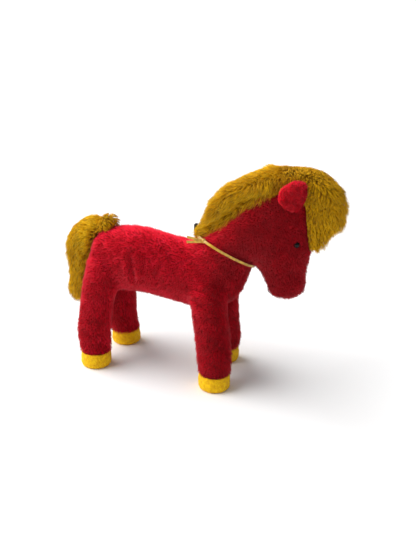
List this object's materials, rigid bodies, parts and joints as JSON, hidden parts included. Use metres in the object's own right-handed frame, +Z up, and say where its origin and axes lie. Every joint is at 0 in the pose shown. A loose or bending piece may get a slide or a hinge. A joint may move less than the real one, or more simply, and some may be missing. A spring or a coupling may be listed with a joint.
{
  "type": "plush horse",
  "caption": "Standing stuffed horse in red plush with gold velour hooves, a long-pile gold mane, forelock and tail, bead eyes and a thin ribbon tied round the neck.",
  "frame": {"origin": "bottom centre of the toy's box, on the floor between the hooves", "axes": "+X towards the head, +Y to the horse's left, +Z up"},
  "size_m": [0.3848, 0.1266, 0.2968],
  "materials": {
    "red_plush": "short-pile plush, 5 mm",
    "red_lining": "short-pile plush, trimmed",
    "gold_velour": "brushed velour",
    "gold_fur": "long-pile fur with dark roots and tips",
    "fur_backing": "knitted backing",
    "black_tape": "woven tape",
    "gold_ribbon": "woven satin",
    "red_thread": "twisted thread",
    "eye_plastic": "moulded, glossy",
    "washer_plastic": "moulded",
    "sole_board": "stiff sheet",
    "stuffing": "loose polyester fibre"
  },
  "bodies": {
    "ear_left": {"ear_back_left": "red_plush", "ear_lining_left": "red_lining"},
    "ear_right": {"ear_back_right": "red_plush", "ear_lining_right": "red_lining"},
    "toy": {"eye_left": "eye_plastic", "eye_right": "eye_plastic", "eye_washer_left": "washer_plastic", "eye_washer_right": "washer_plastic", "face_gusset": "red_plush", "hoof_cup_front_left": "gold_velour", "hoof_cup_front_right": "gold_velour", "hoof_cup_rear_left": "gold_velour", "hoof_cup_rear_right": "gold_velour", "hoof_sole_front_left": "gold_velour", "hoof_sole_front_right": "gold_velour", "hoof_sole_rear_left": "gold_velour", "hoof_sole_rear_right": "gold_velour", "mane_fur": "gold_fur", "mane_tape": "black_tape", "mouth_stitch": "red_thread", "ribbon_end_lower": "gold_ribbon", "ribbon_end_upper": "gold_ribbon", "ribbon_knot": "gold_ribbon", "ribbon_loop": "gold_ribbon", "side_panel_left": "red_plush", "side_panel_right": "red_plush", "sole_board_front_left": "sole_board", "sole_board_front_right": "sole_board", "sole_board_rear_left": "sole_board", "sole_board_rear_right": "sole_board", "stuffing_head": "stuffing", "stuffing_leg_front_left": "stuffing", "stuffing_leg_front_right": "stuffing", "stuffing_leg_rear_left": "stuffing", "stuffing_leg_rear_right": "stuffing", "stuffing_neck": "stuffing", "stuffing_torso": "stuffing", "underbody_gusset": "red_plush"},
    "tail": {"tail_backing": "fur_backing", "tail_fur": "gold_fur"},
    "tail_root": {"tail_knot": "red_thread"}
  },
  "joints": [
    {"name": "tail_sway", "type": "hinge", "parent": "toy", "child": "tail_root", "pos_m": [-0.12422, 0, 0.194], "axis": [1, 0, 0], "range_deg": [-28, 28]},
    {"name": "tail_lift", "type": "hinge", "parent": "tail_root", "child": "tail", "pos_m": [-0.12422, 0, 0.194], "axis": [0, 1, 0], "range_deg": [0, 50]},
    {"name": "ear_right_fold", "type": "hinge", "parent": "toy", "child": "ear_right", "pos_m": [0.12663, -0.022, 0.24991], "axis": [0.9136, 0, -0.4067], "range_deg": [0, 40], "stiffness_Nm_per_rad": 0.01},
    {"name": "ear_left_fold", "type": "hinge", "parent": "toy", "child": "ear_left", "pos_m": [0.12663, 0.022, 0.24991], "axis": [-0.9136, 0, 0.4067], "range_deg": [0, 40], "stiffness_Nm_per_rad": 0.01}
  ]
}
